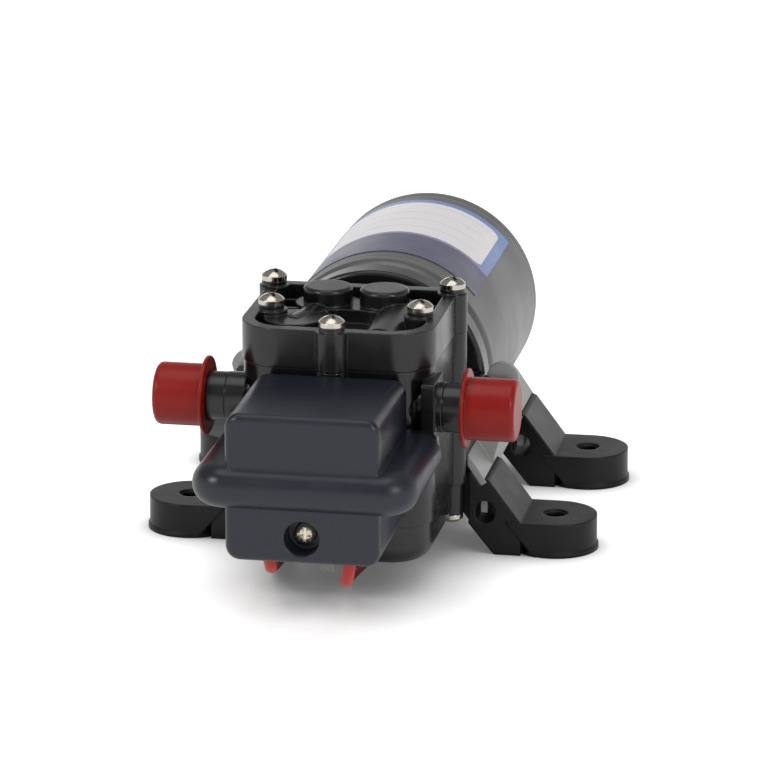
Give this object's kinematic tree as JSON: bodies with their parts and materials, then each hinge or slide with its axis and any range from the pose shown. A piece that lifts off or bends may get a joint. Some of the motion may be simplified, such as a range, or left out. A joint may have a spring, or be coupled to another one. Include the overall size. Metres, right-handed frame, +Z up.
{
  "type": "diaphragm water pump",
  "caption": "Small twelve-volt diaphragm water pump for caravans and campers: dc motor, black pump head with capped hose tails, pressure switch and rubber feet.",
  "frame": {"origin": "centre of the four foot holes, on the surface that the feet stand on", "axes": "+Z up, +Y towards the rear end of the motor along its axis, -Y towards the pressure switch, +X towards the outlet port"},
  "size_m": [0.1, 0.1593, 0.0621],
  "materials": {
    "can_paint": "satin",
    "zinc_steel": "zinc plated",
    "bronze": "sintered",
    "ferrite": "matt",
    "brown_board": "matt",
    "carbon": "matt",
    "spring_steel": "bright",
    "ground_steel": "ground",
    "core_steel": "laminated",
    "copper_wire": "enamelled",
    "copper_bars": "turned",
    "label_film": "printed film",
    "black_plastic": "satin",
    "zinc_casting": "cast",
    "white_plastic": "satin",
    "screw_steel": "polished",
    "black_rubber": "matt",
    "red_plastic": "satin",
    "brass_part": "turned",
    "tinned_blades": "tinned",
    "hood_plastic": "satin",
    "bracket_paint": "satin",
    "foot_rubber": "matt",
    "red_insulation": "satin"
  },
  "bodies": {
    "pump": {"adapter_screws": "zinc_steel", "bottom_cap": "black_plastic", "bottom_screws": "screw_steel", "bracket": "bracket_paint", "brush_card": "brown_board", "brush_springs": "spring_steel", "brushes": "carbon", "check_valves": "black_rubber", "cover_gasket": "black_rubber", "cover_screws": "screw_steel", "field_magnets": "ferrite", "foot_front_left": "foot_rubber", "foot_front_right": "foot_rubber", "foot_rear_left": "foot_rubber", "foot_rear_right": "foot_rubber", "inlet_tail": "black_plastic", "lead_grommet": "black_rubber", "lug_nuts": "zinc_steel", "lug_screws": "zinc_steel", "membrane": "black_rubber", "micro_switch": "black_plastic", "motor_adapter": "black_plastic", "motor_can": "can_paint", "motor_end_cap": "zinc_steel", "motor_label": "label_film", "motor_lead": "red_insulation", "motor_screws": "zinc_steel", "outlet_tail": "black_plastic", "port_orings": "black_rubber", "pump_body": "black_plastic", "sense_disc": "black_rubber", "shaft_bushes": "bronze", "supply_lead": "red_insulation", "supply_lead_tip": "tinned_blades", "switch_base": "black_plastic", "switch_blades": "tinned_blades", "switch_hood": "hood_plastic", "switch_screws": "screw_steel", "top_cover": "black_plastic", "valve_plate": "white_plastic"},
    "armature": {"motor_shaft": "ground_steel", "rotor_core": "core_steel", "rotor_windings": "copper_wire", "commutator": "copper_bars", "crank": "zinc_casting", "bearing_inner": "ground_steel"},
    "yoke_set": {"yoke": "white_plastic", "bearing_outer": "ground_steel", "bearing_balls": "ground_steel", "piston_caps": "white_plastic", "piston_screws": "screw_steel"},
    "inlet_cap_body": {"inlet_cap": "red_plastic"},
    "outlet_cap_body": {"outlet_cap": "red_plastic"},
    "seat": {"spring_seat": "brass_part", "switch_spring": "spring_steel"},
    "adjuster": {"adjuster_screw": "brass_part"},
    "plunger": {"switch_plunger": "white_plastic"},
    "button": {"micro_button": "white_plastic"}
  },
  "joints": [
    {"name": "motor_spin", "type": "hinge", "parent": "pump", "child": "armature", "pos_m": [0, 0, 0.0346], "axis": [0, 1, 0], "continuous": true},
    {"name": "yoke_orbit", "type": "hinge", "parent": "armature", "child": "yoke_set", "pos_m": [0, -0.044, 0.0356], "axis": [0, 1, 0], "continuous": true},
    {"name": "inlet_cap_pull", "type": "slide", "parent": "pump", "child": "inlet_cap_body", "axis": [-1, 0, 0], "range_m": [0, 0.025]},
    {"name": "outlet_cap_pull", "type": "slide", "parent": "pump", "child": "outlet_cap_body", "axis": [1, 0, 0], "range_m": [0, 0.025]},
    {"name": "spring_seat_slide", "type": "slide", "parent": "pump", "child": "seat", "axis": [0, 1, 0], "range_m": [-0.0005, 0.0005]},
    {"name": "adjuster_turn", "type": "hinge", "parent": "seat", "child": "adjuster", "pos_m": [0.0004, -0.1, 0.0244], "axis": [0, 1, 0], "range_deg": [-540, 540]},
    {"name": "switch_plunger_slide", "type": "slide", "parent": "pump", "child": "plunger", "axis": [0, -1, 0], "range_m": [0, 0.0005], "stiffness_N_per_m": 8000},
    {"name": "micro_button_slide", "type": "slide", "parent": "pump", "child": "button", "axis": [0, -1, 0], "range_m": [0, 0.0005]}
  ],
  "couplings": [
    {"joint": "yoke_orbit", "follows": "motor_spin", "ratio": -1},
    {"joint": "adjuster_turn", "follows": "spring_seat_slide", "rad_per_m": 12566},
    {"joint": "micro_button_slide", "follows": "switch_plunger_slide", "ratio": 1}
  ]
}
